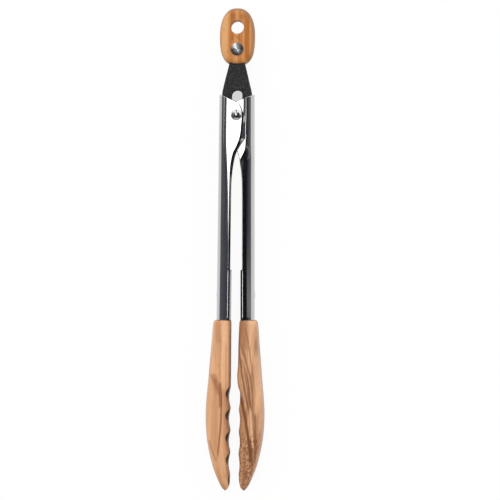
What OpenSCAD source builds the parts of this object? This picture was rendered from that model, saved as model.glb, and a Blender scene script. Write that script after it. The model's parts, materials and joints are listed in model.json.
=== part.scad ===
// Spring loaded kitchen tongs: two sheet steel arms hinged on one rivet, wooden jaws in
// ferrules at their lower ends, and a pull-to-lock slide with a wooden tab.
// The tongs lie flat: +Y runs to the pull tab, -Y to the jaw tips, +Z is the front face.

/* [Overall] */
// Length from the top of the tab to the jaw tips
overall_l = 300; // [280:1:320]
// Distance from the top of the tab to the pivot
pivot_from_top = 66.8; // [66:0.2:68]

/* [Arms] */
// Half the width over both arms at the pivot
arm_half_w = 11.1; // [11:0.02:11.2]
// Depth of the arms, front to back
arm_depth = 20; // [19.6:0.1:21]
// Thickness of the steel sheet
sheet_t = 0.7; // [0.6:0.05:0.75]
// Width of the channel's flanges below the ears
flange_w = 7.53; // [7.3:0.01:7.7]
// Outside radius of the ferrule's inner folds
fold_r = 2.2; // [1.8:0.1:2.6]
// How far the arms reach above the pivot
arm_top = 12.7; // [12:0.1:13]
// Angle at which each closed arm leaves the centre line
splay = 0.38; // [0.2:0.02:0.4]
// Length of the closed ferrule that holds the jaw
ferrule_l = 31.3; // [28:0.1:34]
// Width of the ferrule
ferrule_w = 8.58; // [8.4:0.01:8.7]

/* [Jaws] */
// Length of each wooden jaw below its ferrule
jaw_l = 105.9; // [100:0.1:110]
// Greatest depth of a jaw, front to back
jaw_depth = 24.4; // [22:0.2:26]
// Distance from one tooth to the next
tooth_pitch = 13.7; // [12:0.1:14]
// Depth of the hollow between two teeth
tooth_depth = 1.05; // [0.8:0.05:1.4]
// Number of hollows along the gripping edge
tooth_count = 4; // [3:1:4]

/* [Pivot] */
// Radius of the rivet's shank
rivet_r = 2.4; // [2:0.1:2.4]
// Radius of the rivet's domed heads
rivet_head_r = 3.45; // [3.2:0.05:3.6]
// Height of the rivet's domed heads
rivet_head_h = 1.7; // [1.2:0.1:2]
// Diameter of the spring wire
wire_d = 1.4; // [1.2:0.1:1.4]
// Turns in the spring's coil
coil_turns = 3.5; // [2.5:1:3.5]
// Length of each spring leg below the pivot
leg_l = 42; // [30:1:50]

/* [Slide] */
// Half the width of the slide across its shoulders
shoulder_w = 9.0; // [8.6:0.05:9.2]
// Half the width of the slide where it meets the tab
neck_w = 5; // [4.8:0.1:5.2]
// Thickness of the slide, front to back
slide_depth = 14.4; // [14:0.1:14.8]
// Travel of the slide from locked to unlocked
slide_travel = 12.4; // [12.4:0.1:12.6]

/* [Tab] */
// Width of the tab
tab_w = 21.8; // [20:0.2:24]
// Height of the tab
tab_h = 35.4; // [34:0.2:36]
// Thickness of the tab
tab_t = 11; // [10:0.2:12]
// Radius of the hanging hole
hang_r = 4.1; // [3.5:0.1:4.2]
// Radius of the tab rivet's heads
tab_head_r = 3.95; // [3.6:0.05:4.2]

/* [Hidden] */

pivot_y = overall_l / 2 - pivot_from_top;
mid_z = jaw_depth / 2;
run_gap = 0.1;                              // play between parts that turn or slide
slack = 0.05;                               // play between parts that stay put
face_z = arm_depth / 2;
web_in = arm_half_w - sheet_t;              // inner face of the arm's outer wall
flange_x = arm_half_w - flange_w;           // inner edge of the flanges
ferrule_x = arm_half_w - ferrule_w;
arm_end = -(overall_l - pivot_from_top - jaw_l);
ferrule_top = arm_end + ferrule_l;
relief_r = 0.7;
crown_x = 2.6;                              // where the outer wall's curve starts on the flanges
wall_n = 3.3;                               // how square that curve is

// Ears: the outer pair lies flush with the flanges, the inner pair one sheet further in
ear_drop = sheet_t + 0.15;
ear_reach = 4.15;                           // how far an ear passes the centre line
valley_y = 7.9;                             // where the two top edges cross
joggle_x = 6.7;
ear_foot = -52;                             // where the ear has run out into the flange
bore_r = rivet_r + run_gap;

// Joggled area of the inner ears, its edge moved out by g
function pad_outline(g) = [[-joggle_x - g, 20], [-joggle_x - g, -16], [0.8 - joggle_x - g, -19.6],
                           [-2 - g, -28.6 - g], [12, -28.6 - g], [12, 20]];

// Slide, measured from the pivot while it is pulled out and locked
shoulder_y = 14.3;
belly_y = 8;
belly_w = shoulder_w + 0.5;
slide_foot = -8;
slide_edge_r = 3.6;
slot_w = 3.5;                               // half the width of the slot
slot_top = slide_travel + 0.15;
slot_foot = -0.95;
bush_r = slot_w - run_gap;
fork_gap = 3.6;                             // half the gap that the coil sits in
fork_top = slide_travel + 6.1;
neck_depth = 4.4;                           // half the depth of the neck
tongue_w = 4.2;
tongue_depth = 2.6;                         // half the depth of the tongue
tongue_l = 15;

// Tab
tab_y = pivot_from_top - tab_h / 2;
tab_foot = pivot_from_top - tab_h;
hang_y = 54.9;
tab_rivet_y = 41.1;
tab_rivet_r = 2;
tab_socket_r = 3;
tab_edge_r = 3.6;
tab_n = 2.35;                               // how square the tab's outline is
hole_edge = 0.5;

// Spring
coil_r = bush_r + 0.4 + wire_d / 2;
coil_pitch = wire_d + 0.1;
leg_out = 9.2;                              // where the legs end, just off the arms' walls

// Jaw screw
screw_y = arm_end + 0.5 * ferrule_l;
screw_head_r = 2.6;
screw_r = 1.3;
screw_l = 6;

$fn = 48;

// Smooth curve through the points p, with n steps from each one to the next
function at(p, i) = p[max(0, min(len(p) - 1, i))];
function spline(p, i, t) =
    0.5 * (2 * p[i] + (at(p, i + 1) - at(p, i - 1)) * t
           + (2 * at(p, i - 1) - 5 * p[i] + 4 * at(p, i + 1) - at(p, i + 2)) * t * t
           + (3 * p[i] - at(p, i - 1) - 3 * at(p, i + 1) + at(p, i + 2)) * t * t * t);
function curve(p, n) = concat([for (i = [0 : len(p) - 2], k = [0 : n - 1]) spline(p, i, k / n)],
                              [p[len(p) - 1]]);
function arc(c, r, a0, a1, n) = [for (i = [0 : n]) let (a = a0 + (a1 - a0) * i / n)
                                 c + r * [cos(a), sin(a)]];

// Point on a superellipse of half sizes a and b, squarer as n grows
function soft(v, n) = sign(v) * pow(abs(v), 2 / n);
function oval(a, b, n, t) = [a * soft(cos(t), n), b * soft(sin(t), n)];

// Closed solid from a list of rings that all have the same number of points
module skin(rings) {
    n = len(rings[0]);
    m = len(rings);
    polyhedron(
        points = [for (ring = rings, p = ring) p],
        faces = concat([[for (j = [0 : n - 1]) j]],
                       [for (i = [0 : m - 2], j = [0 : n - 1])
                        [i * n + (j + 1) % n, i * n + j, (i + 1) * n + j, (i + 1) * n + (j + 1) % n]],
                       [[for (j = [n - 1 : -1 : 0]) (m - 1) * n + j]]));
}

module at_pivot() {
    translate([0, pivot_y, mid_z]) children();
}

module mirrored() {
    mirror([1, 0, 0]) children();
}

// Turns a section drawn in X and Z into a bar that runs along Y from y0 to y1
module along_y(y0, y1) {
    translate([0, y1, 0]) rotate([90, 0, 0]) linear_extrude(y1 - y0) children();
}

module slab(z0, z1) {
    translate([0, 0, z0]) linear_extrude(z1 - z0) children();
}

module both_faces() {
    children();
    mirror([0, 0, 1]) children();
}

// Rectangle from x0 to x1, of depth d about the middle, with corners of radius r
module rounded(x0, x1, d, r) {
    translate([x0 + r, -d / 2]) square([x1 - x0 - 2 * r, d]);
    translate([x0, r - d / 2]) square([x1 - x0, d - 2 * r]);
    for (x = [x0 + r, x1 - r], z = [r - d / 2, d / 2 - r]) translate([x, z]) circle(r);
}

// Dome that stands on z = 0
module dome(r, h) {
    ball = (r * r + h * h) / (2 * h);
    rotate_extrude() intersection() {
        translate([0, h - ball]) circle(ball, $fn = 96);
        square([r, h]);
    }
}

/* ---- arms ---- */

// Point of the outer wall's curve at the angle t, set inwards by d along its normal
function wall_point(t, d) =
    let (a = arm_half_w - crown_x, p = oval(a, face_z, wall_n, t),
         out = [soft(p[0] / a, 2 / (wall_n - 1)) / a, soft(p[1] / face_z, 2 / (wall_n - 1)) / face_z])
    [p[0] - crown_x, p[1]] - d * unit(out);

// Area inside the outer wall as far as x1, set inwards by d
module wall_core(x1, d) {
    polygon(concat([[x1, face_z - d]], [for (i = [0 : 32]) wall_point(90 + 180 * i / 32, d)],
                   [[x1, d - face_z]]));
}

// Folded sheet: bowed outer wall and two level flanges that reach past the centre line
module channel_section() {
    difference() {
        wall_core(ear_reach + 1, 0);
        wall_core(ear_reach + 2, sheet_t);
    }
}

// Front view of the left arm down to the ferrule
module arm_outline() {
    ear = curve([[0.3, valley_y], [2.7, 5.5], [ear_reach, 0.6], [3.9, -6], [3.2, -13], [1.35, -18.7],
                 [-1.1, -24], [-2.5, -31], [-3.4, -40], [-flange_x, ear_foot]], 5);
    polygon(concat([[-12, arm_top], [-arm_half_w, arm_top]], ear,
                   [[-flange_x, ferrule_top], [-12, ferrule_top]]));
}

// Area inside the closed ferrule, set inwards by d
module ferrule_core(d) {
    intersection() {
        wall_core(0, d);
        rounded(-2 * arm_half_w, -ferrule_x - d, arm_depth - 2 * d, fold_r - d);
    }
}

module ferrule() {
    seam = 0.8;
    along_y(arm_end, ferrule_top) difference() {
        ferrule_core(0);
        ferrule_core(sheet_t);
        translate([-ferrule_x - 2, -seam / 2]) square([4, seam]);
    }
}

// Relief holes at the upper end of the ferrule, where the flanges start to turn in
module relief() {
    translate([-flange_x - 0.3, ferrule_top, 0])
        cylinder(r = relief_r, h = 2 * arm_depth, center = true);
}

module jaw_screw_seat(extra) {
    depth = screw_head_r - screw_r;
    translate([-arm_half_w, screw_y, 0]) rotate([0, 90, 0]) {
        cylinder(r1 = screw_head_r + extra, r2 = screw_r + extra, h = depth);
        cylinder(r = screw_r + extra, h = screw_l + extra);
    }
}

module rivet_bore() {
    cylinder(r = bore_r, h = 2 * arm_depth, center = true);
}

module left_arm_steel() {
    difference() {
        union() {
            intersection() {
                along_y(ferrule_top, arm_top) channel_section();
                slab(-arm_depth, arm_depth) arm_outline();
            }
            ferrule();
        }
        relief();
        rivet_bore();
        jaw_screw_seat(0);
    }
}

// The same arm, with the area round its ears pressed inwards by one sheet
module joggled_arm_steel() {
    inner = face_z - ear_drop;
    difference() {
        union() {
            intersection() {
                along_y(ferrule_top, arm_top) channel_section();
                slab(-arm_depth, arm_depth) difference() {
                    arm_outline();
                    polygon(pad_outline(0));
                }
            }
            both_faces() slab(inner - sheet_t, inner) intersection() {
                arm_outline();
                polygon(pad_outline(sheet_t));
            }
            intersection() {
                along_y(ferrule_top, arm_top) wall_core(ear_reach + 1, 0);
                both_faces() slab(inner - sheet_t, face_z) intersection() {
                    arm_outline();
                    difference() {
                        polygon(pad_outline(sheet_t));
                        polygon(pad_outline(0));
                    }
                }
            }
            ferrule();
        }
        relief();
        rivet_bore();
        jaw_screw_seat(0);
    }
}

module left_arm() {
    color([0.80, 0.82, 0.84]) at_pivot() rotate(-splay) left_arm_steel();
}

module right_arm() {
    color([0.74, 0.76, 0.79]) at_pivot() rotate(splay) mirrored() joggled_arm_steel();
}

/* ---- jaws ---- */

// Sizes of a jaw at the distance s below its ferrule: outer edge, gripping edge, half depth
outer_points = [[0, 13.3], [2.4, 14], [14, 14.9], [37, 16.8], [57, 18.3], [74, 17.4], [90, 14],
                [100, 10.2], [104, 8.1], [jaw_l, 6.4]];
depth_points = [[0, 10.5], [2.4, 11.1], [25, 11.8], [55, mid_z], [78, 11.5], [93, 9.4], [101, 6.6],
                [104.6, 4.2], [jaw_l, 2.2]];
tooth_start = 41.5;
grip_gap = 2.9;                             // half the gap between the plain edges
tooth_gap = 3;                              // half the gap between facing teeth
tip_start = tooth_start + tooth_pitch * tooth_count;
tip_gap = 5.4;
grip_n = 5;                                 // how square the gripping side of the section is
back_n = 2.6;                               // how square its outer side is

function ease(t) = t * t * (3 - 2 * t);
// Height at s of the smooth line through the points p, whose spacing may vary
function slope(p, i) = let (a = at(p, i - 1), b = at(p, i + 1)) (b[1] - a[1]) / (b[0] - a[0]);
function fair(p, s) =
    let (i = max([for (k = [0 : len(p) - 2]) if (p[k][0] <= s) k]),
         w = p[i + 1][0] - p[i][0], t = (s - p[i][0]) / w, u = 1 - t)
    p[i][1] * (1 + 2 * t) * u * u + p[i + 1][1] * t * t * (3 - 2 * t)
    + slope(p, i) * w * t * u * u - slope(p, i + 1) * w * t * t * u;
function grip(s) =
    s < tooth_start - 6 ? grip_gap
    : s < tooth_start ? grip_gap + (tooth_gap - grip_gap) * ease((s - tooth_start + 6) / 6)
    : s < tip_start
        ? tooth_gap + tooth_depth * pow(abs(sin(180 * (s - tooth_start) / tooth_pitch)), 1.2)
    : tooth_gap + (tip_gap - tooth_gap) * pow((s - tip_start) / (jaw_l - tip_start), 5);

// Section of the jaw: flatter towards the other jaw, rounder on the outside
function jaw_ring(s, n) =
    let (x0 = -grip(s), x1 = -fair(outer_points, s), mid = (x0 + x1) / 2,
         depth = fair(depth_points, s))
    [for (j = [0 : n - 1])
     let (t = 360 * j / n, p = oval((x0 - x1) / 2, depth, cos(t) > 0 ? grip_n : back_n, t))
     [mid + p[0], arm_end - s, p[1]]];

// Distances below the ferrule at which the jaw's sections are set
tooth_steps = 8;
jaw_stations = concat([0, 0.8, 1.6, 2.6, 5, 9, 14, 20, 26, 32],
                      [for (i = [0 : 3]) tooth_start - 6 + 1.5 * i],
                      [for (i = [0 : tooth_count * tooth_steps])
                          tooth_start + tooth_pitch * i / tooth_steps],
                      [for (i = [1 : 8]) jaw_l - (jaw_l - tip_start) * pow(1 - i / 8, 1.6)]);

module jaw_wood() {
    difference() {
        union() {
            skin([for (s = jaw_stations) jaw_ring(s, 28)]);
            rotate(-splay) along_y(arm_end - 1, ferrule_top - 2) ferrule_core(sheet_t + slack);
        }
        rotate(-splay) jaw_screw_seat(slack);
    }
}

module jaw_screw_steel() {
    rotate(-splay) jaw_screw_seat(-slack / 2);
}

module left_jaw() {
    color([0.84, 0.66, 0.46]) at_pivot() jaw_wood();
}

module right_jaw() {
    color([0.80, 0.60, 0.40]) at_pivot() mirrored() jaw_wood();
}

module left_jaw_screw() {
    color([0.70, 0.70, 0.72]) at_pivot() jaw_screw_steel();
}

module right_jaw_screw() {
    color([0.70, 0.70, 0.72]) at_pivot() mirrored() jaw_screw_steel();
}

/* ---- pivot ---- */

module pivot_rivet() {
    color([0.86, 0.86, 0.88]) at_pivot() {
        cylinder(r = rivet_r, h = 2 * (face_z + slack + 0.2), center = true);
        both_faces() translate([0, 0, face_z + slack]) dome(rivet_head_r, rivet_head_h);
    }
}

module pivot_bush() {
    half_l = face_z - ear_drop - sheet_t - slack;
    color([0.66, 0.67, 0.70]) at_pivot() difference() {
        cylinder(r = bush_r, h = 2 * half_l, center = true);
        cylinder(r = rivet_r + slack, h = 3 * half_l, center = true);
    }
}

// Centre line of the spring: left leg, coil, right leg
coil_steps = 16;
coil_half = coil_pitch * coil_turns / 2;
function coil_point(a) = [-coil_r * cos(a), coil_r * sin(a), coil_pitch * a / 360 - coil_half];
function leg_point(side, t, z) = [side * (coil_r + (leg_out - coil_r) * t * t), -leg_l * t, z];
spring_path = concat(
    [for (i = [8 : -1 : 1]) leg_point(-1, i / 8, -coil_half)],
    [for (i = [0 : coil_turns * coil_steps]) coil_point(360 * i / coil_steps)],
    [for (i = [1 : 8]) leg_point(1, i / 8, coil_half)]);

function unit(v) = v / norm(v);
function wire_ring(p, dir, r, n) =
    let (side = unit(cross(dir, [0, 0, 1])), up = cross(dir, side))
    [for (j = [0 : n - 1]) p + r * (cos(360 * j / n) * side + sin(360 * j / n) * up)];

module torsion_spring() {
    last = len(spring_path) - 1;
    color([0.60, 0.61, 0.64]) at_pivot()
        skin([for (i = [0 : last])
              let (dir = unit(at(spring_path, i + 1) - at(spring_path, i - 1)))
              wire_ring(spring_path[i], dir, wire_d / 2, 8)]);
}

/* ---- slide and tab ---- */

// Front view of the slide: neck, sloping flanks, shoulders, and a belly that tapers to the foot
module slide_outline() {
    right = concat([[neck_w - 0.5, tab_foot + 2.5], [neck_w, tab_foot]],
                   arc([shoulder_w - 1.2, shoulder_y], 1.2, 15, 0, 3),
                   [[belly_w, belly_y], [belly_w - 0.4, 2]],
                   arc([belly_w - 4, slide_foot + 2.2], 2.2, 0, -90, 6));
    left = [for (i = [len(right) - 1 : -1 : 0]) [-right[i][0], right[i][1]]];
    polygon(concat(right, left));
}

// Side view of the slide: full depth below the shoulders, thinner at the neck
module slide_side() {
    half = slide_depth / 2;
    polygon([[-half, slide_foot], [half, slide_foot], [half, shoulder_y + 2],
             [neck_depth, tab_foot - 1], [neck_depth, tab_foot + 3], [-neck_depth, tab_foot + 3],
             [-neck_depth, tab_foot - 1], [-half, shoulder_y + 2]]);
}

module slot() {
    for (y = [slot_top, slot_foot]) translate([0, y, 0])
        cylinder(r = slot_w, h = 2 * slide_depth, center = true);
    translate([-slot_w, slot_foot, -slide_depth])
        cube([2 * slot_w, slot_top - slot_foot, 2 * slide_depth]);
}

module tongue(play) {
    translate([-tongue_w - play, tab_foot - 1, -tongue_depth - play])
        cube([2 * (tongue_w + play), tongue_l + 1 + play, 2 * (tongue_depth + play)]);
}

module lock_slide() {
    color([0.13, 0.13, 0.13]) at_pivot() difference() {
        union() {
            difference() {
                intersection() {
                    slab(-slide_depth, slide_depth) slide_outline();
                    rotate([90, 0, 90]) linear_extrude(4 * shoulder_w, center = true)
                        mirror([1, 0]) rotate(90) slide_side();
                    along_y(slide_foot, tab_foot + 3)
                        rounded(-belly_w, belly_w, slide_depth, slide_edge_r);
                }
                tab_body(slack);
            }
            tongue(0);
        }
        slot();
        translate([-2 * belly_w, slide_foot - 1, -fork_gap])
            cube([4 * belly_w, fork_top - slide_foot + 1, 2 * fork_gap]);
        translate([0, tab_rivet_y, 0]) cylinder(r = tab_socket_r + slack, h = tab_t, center = true);
    }
}

// Tab outline at the height z above its middle, drawn in by the rounded edge
function tab_ring(z, play, n) =
    let (over = max(0, abs(z) - (tab_t / 2 - tab_edge_r)),
         in = tab_edge_r - sqrt(tab_edge_r * tab_edge_r - over * over) - play)
    [for (j = [0 : n - 1]) let (p = oval(tab_w / 2 - in, tab_h / 2 - in, tab_n, 360 * j / n))
     [p[0], tab_y + p[1], z]];

module tab_body(play) {
    flat = tab_t / 2 - tab_edge_r;
    skin([for (side = [-1, 1], i = [0 : 6]) let (a = 15 * (side < 0 ? 6 - i : i))
          tab_ring(side * (flat + tab_edge_r * sin(a)), play, 48)]);
}

module pull_tab() {
    half = tab_t / 2;
    color([0.80, 0.55, 0.32]) at_pivot() difference() {
        tab_body(0);
        tongue(slack);
        translate([0, hang_y, 0]) {
            cylinder(r = hang_r, h = 2 * tab_t, center = true);
            both_faces() translate([0, 0, half - hole_edge])
                cylinder(r1 = hang_r, r2 = hang_r + 2 * hole_edge, h = 2 * hole_edge);
        }
        translate([0, tab_rivet_y, 0]) cylinder(r = tab_socket_r + slack, h = 2 * tab_t, center = true);
    }
}

module tab_rivet() {
    color([0.72, 0.73, 0.75]) at_pivot() translate([0, tab_rivet_y, 0]) {
        translate([0, 0, tab_t / 2]) cylinder(r = tab_head_r, h = 0.4);
        translate([0, 0, tab_t / 2 + 0.4]) dome(tab_head_r, 0.7);
        translate([0, 0, 1 - tab_t / 2]) cylinder(r = tab_rivet_r, h = tab_t - 1);
    }
}

module tab_rivet_socket() {
    color([0.66, 0.67, 0.70]) at_pivot() translate([0, tab_rivet_y, 0]) mirror([0, 0, 1]) difference() {
        union() {
            translate([0, 0, tab_t / 2]) cylinder(r = tab_head_r, h = 0.4);
            translate([0, 0, tab_t / 2 + 0.4]) dome(tab_head_r, 0.7);
            translate([0, 0, 1 - tab_t / 2]) cylinder(r = tab_socket_r, h = tab_t - 1);
        }
        translate([0, 0, -tab_t]) cylinder(r = tab_rivet_r + slack, h = 1.5 * tab_t - 1 + slack);
    }
}

left_arm();
right_arm();
left_jaw();
right_jaw();
left_jaw_screw();
right_jaw_screw();
pivot_rivet();
pivot_bush();
torsion_spring();
lock_slide();
pull_tab();
tab_rivet();
tab_rivet_socket();
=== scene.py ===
"""Looks of the spring loaded kitchen tongs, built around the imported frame.

Lengths are in metres in the frame's own axes: +Y runs to the pull tab, +Z out of the front
face. Shapes are worked out in millimetres from the pivot and placed by Layout.place.
"""
import json
import logging
import math
from dataclasses import dataclass, field
from enum import Enum
from typing import ClassVar

import bmesh
import bpy
import numpy as np
from mathutils import Matrix, Vector


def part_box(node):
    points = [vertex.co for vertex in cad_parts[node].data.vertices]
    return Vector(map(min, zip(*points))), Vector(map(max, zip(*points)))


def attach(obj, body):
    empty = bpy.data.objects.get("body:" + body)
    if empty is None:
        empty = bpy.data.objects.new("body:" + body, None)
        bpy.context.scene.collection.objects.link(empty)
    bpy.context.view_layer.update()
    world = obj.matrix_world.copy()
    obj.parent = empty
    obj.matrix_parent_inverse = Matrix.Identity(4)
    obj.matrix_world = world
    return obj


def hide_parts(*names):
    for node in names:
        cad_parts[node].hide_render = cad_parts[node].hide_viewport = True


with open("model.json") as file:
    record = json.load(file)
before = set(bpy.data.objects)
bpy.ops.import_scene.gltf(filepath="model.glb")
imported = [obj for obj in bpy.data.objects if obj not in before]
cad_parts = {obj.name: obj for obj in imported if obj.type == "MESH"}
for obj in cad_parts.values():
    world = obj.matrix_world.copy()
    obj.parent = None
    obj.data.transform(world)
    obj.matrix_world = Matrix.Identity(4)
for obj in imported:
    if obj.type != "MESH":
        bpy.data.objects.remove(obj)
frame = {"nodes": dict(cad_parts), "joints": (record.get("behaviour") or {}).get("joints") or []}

log = logging.getLogger("tongs")
MM = 0.001
JAW_LENGTH = 105.9  # how far the wood shows below the ferrules, in millimetres
POLE = 0.001  # radius of the ring that stands for a pole, in millimetres
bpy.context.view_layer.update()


class Side(Enum):
    """Which arm a piece belongs to, as the sign of X."""

    LEFT = -1
    RIGHT = 1

    @property
    def label(self) -> str:
        """The word that starts the names of the side's pieces."""
        return self.name.lower()

    @property
    def body(self) -> str:
        """The frame's body that the side's pieces ride on."""
        return f"{self.label}_side"


# ---------------------------------------------------------------- shader building


Colour = tuple[float, float, float]
Socket = bpy.types.NodeSocket
Stops = list[tuple[float, Colour]]


class Number:
    """A number socket that takes part in plain arithmetic and adds Math nodes."""

    def __init__(self, maker: "Maker", socket: Socket) -> None:
        """Wraps the output socket that carries the number."""
        self.maker = maker
        self.socket = socket

    def _math(self, operation: str, *values: "Number | float") -> "Number":
        """Result of one Math node with the given operation and inputs."""
        made = self.maker.node("ShaderNodeMath", {"operation": operation}, dict(enumerate(values)))
        return Number(self.maker, made.outputs[0])

    def __add__(self, other: "Number | float") -> "Number":
        """Sum."""
        return self._math("ADD", self, other)

    def __radd__(self, other: float) -> "Number":
        """Sum with a plain number first."""
        return self._math("ADD", other, self)

    def __sub__(self, other: "Number | float") -> "Number":
        """Difference."""
        return self._math("SUBTRACT", self, other)

    def __rsub__(self, other: float) -> "Number":
        """Difference from a plain number."""
        return self._math("SUBTRACT", other, self)

    def __mul__(self, other: "Number | float") -> "Number":
        """Product."""
        return self._math("MULTIPLY", self, other)

    def __rmul__(self, other: float) -> "Number":
        """Product with a plain number first."""
        return self._math("MULTIPLY", other, self)

    def __truediv__(self, other: "Number | float") -> "Number":
        """Quotient."""
        return self._math("DIVIDE", self, other)

    def __pow__(self, other: "Number | float") -> "Number":
        """Power."""
        return self._math("POWER", self, other)

    def __neg__(self) -> "Number":
        """Negative."""
        return self._math("MULTIPLY", self, -1.0)

    def abs(self) -> "Number":
        """Absolute value."""
        return self._math("ABSOLUTE", self)

    def sin(self) -> "Number":
        """Sine, of an angle in radians."""
        return self._math("SINE", self)

    def most(self, other: "Number | float") -> "Number":
        """The larger of two."""
        return self._math("MAXIMUM", self, other)

    def rise(self, low: float, high: float) -> "Number":
        """Smooth step of the number.

        Args:
            low: where it is 0.
            high: where it is 1.

        Returns:
            A number from 0 to 1.
        """
        ends = {"Value": self, "From Min": low, "From Max": high}
        made = self.maker.node("ShaderNodeMapRange", {"interpolation_type": "SMOOTHSTEP"}, ends)
        return Number(self.maker, made.outputs["Result"])


class Maker:
    """Builds one node tree, with a single method that makes any node."""

    def __init__(self, tree: bpy.types.NodeTree) -> None:
        """Empties the node tree that it is going to fill."""
        self.tree = tree
        self.tree.nodes.clear()

    def node(self, kind: str, settings: dict | None = None, inputs: dict | None = None) -> bpy.types.Node:
        """Adds a node, and sets its settings first and then its sockets.

        Args:
            kind: the node's type.
            settings: attributes such as a Math node's operation, or a ramp's stops under "stops".
            inputs: socket name or number to a value, a Number or an output socket.

        Returns:
            The node.
        """
        made = self.tree.nodes.new(kind)
        for name, value in (settings or {}).items():
            if name == "stops":
                self._set_stops(made.color_ramp, value)
            else:
                setattr(made, name, value)
        for name, value in (inputs or {}).items():
            if isinstance(value, Number):
                value = value.socket
            if isinstance(value, Socket):
                self.tree.links.new(value, made.inputs[name])
            else:
                made.inputs[name].default_value = value
        return made

    @staticmethod
    def _set_stops(ramp: bpy.types.ColorRamp, stops: Stops) -> None:
        """Writes the stops of a colour ramp.

        Args:
            ramp: the ramp.
            stops: place and colour of each stop, in order.
        """
        while len(ramp.elements) > 1:
            ramp.elements.remove(ramp.elements[-1])
        for index, (place, colour) in enumerate(stops):
            element = ramp.elements[0] if index == 0 else ramp.elements.new(place)
            element.position = place
            element.color = (*colour, 1.0)

    def place(self, scale: Colour = (1, 1, 1), shift: Colour = (0, 0, 0), turn: Colour = (0, 0, 0)) -> Socket:
        """Object coordinates, scaled, turned by radians and shifted by a Mapping node."""
        here = self.node("ShaderNodeTexCoord").outputs["Object"]
        return self.move(here, scale, shift, turn)

    def move(
        self, where: Socket, scale: Colour = (1, 1, 1), shift: Colour = (0, 0, 0), turn: Colour = (0, 0, 0)
    ) -> Socket:
        """A vector, scaled, turned by radians and shifted by a Mapping node."""
        mapping = {"Vector": where, "Scale": scale, "Location": shift, "Rotation": turn}
        return self.node("ShaderNodeMapping", {}, mapping).outputs[0]

    def noise(self, where: Socket, detail: float = 2.0, roughness: float = 0.5) -> Number:
        """Smooth noise about 0.5, with detail finer layers of the given strength."""
        inputs = {"Vector": where, "Scale": 1.0, "Detail": detail, "Roughness": roughness}
        return Number(self, self.node("ShaderNodeTexNoise", {}, inputs).outputs[0])

    def mark(self, name: str) -> Number:
        """A mark that the piece's shell wrote on its points."""
        return Number(self, self.node("ShaderNodeAttribute", {"attribute_name": name}).outputs["Fac"])

    def vector(self, *parts: Number) -> Socket:
        """A vector from its three parts."""
        return self.node("ShaderNodeCombineXYZ", {}, dict(enumerate(parts))).outputs[0]

    def axes(self, where: Socket) -> tuple[Number, ...]:
        """The three parts of a vector as numbers."""
        split = self.node("ShaderNodeSeparateXYZ", {}, {"Vector": where})
        return tuple(Number(self, part) for part in split.outputs)

    def ramp(self, value: Number, stops: Stops) -> Socket:
        """Colour ramp, read at the value."""
        return self.node("ShaderNodeValToRGB", {"stops": stops}, {"Fac": value}).outputs[0]

    def blend(self, share: Number, first: Socket | Colour, second: Socket | Colour) -> Socket:
        """The first colour, with a share of the second over it."""
        under, over = (c if isinstance(c, Socket) else (*c, 1.0) for c in (first, second))
        return self.node("ShaderNodeMix", {"data_type": "RGBA"}, {0: share, 6: under, 7: over}).outputs[2]

    def bump(self, height: Number, depth: float) -> Socket:
        """Normal from a height, where a height of 1 is as many metres as depth says."""
        inputs = {"Strength": 1.0, "Distance": depth, "Height": height}
        return self.node("ShaderNodeBump", {}, inputs).outputs[0]

    def surface(self, **inputs: object) -> None:
        """Ends the tree with a Principled shader.

        Args:
            inputs: socket names, with spaces as underscores, and their values.
        """
        sockets = {name.replace("_", " "): value for name, value in inputs.items()}
        if isinstance(sockets.get("Base Color"), tuple):
            sockets["Base Color"] = (*sockets["Base Color"], 1.0)
        shader = self.node("ShaderNodeBsdfPrincipled", {}, sockets)
        self.node("ShaderNodeOutputMaterial", {}, {"Surface": shader.outputs[0]})


def material(name: str) -> tuple[bpy.types.Material, Maker]:
    """Starts a material.

    Args:
        name: the material's name.

    Returns:
        The material, and the maker of its nodes.
    """
    made = bpy.data.materials.new(name)
    made.use_nodes = True
    return made, Maker(made.node_tree)


def shaded(colour: Colour, share: float) -> Colour:
    """A colour with each part multiplied by the share."""
    return tuple(part * share for part in colour)


# ---------------------------------------------------------------- finishes


@dataclass(frozen=True)
class PolishedSteel:
    """Mirror polished stainless steel with faint polishing lines, a few smears, and dark lines of painted
    shade where a piece marks them.
    """

    name: str
    colour: Colour = (0.55, 0.54, 0.535)
    roughness: float = 0.07
    line_depth: float = 0.0000012

    def make(self) -> bpy.types.Material:
        """The material."""
        made, m = material(self.name)
        smears = m.noise(m.place((60, 25, 60)), 3.0)
        lines = m.noise(m.place((2600, 90, 2600)))
        # Dark lines of painted shade that the arms mark on their edges, pressed bend and ferrule faces; they
        # are also rougher there.
        painted_shade = m.mark("painted_shade")
        colour = m.blend(smears.rise(0.45, 0.75) * 0.5, self.colour, shaded(self.colour, 0.94))
        m.surface(
            Base_Color=m.blend(painted_shade, colour, shaded(self.colour, 0.12)),
            Metallic=1.0,
            Roughness=self.roughness + 0.06 * smears.rise(0.5, 0.8) + 0.03 * lines + 0.2 * painted_shade,
            Normal=m.bump(lines, self.line_depth),
        )
        return made


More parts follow.
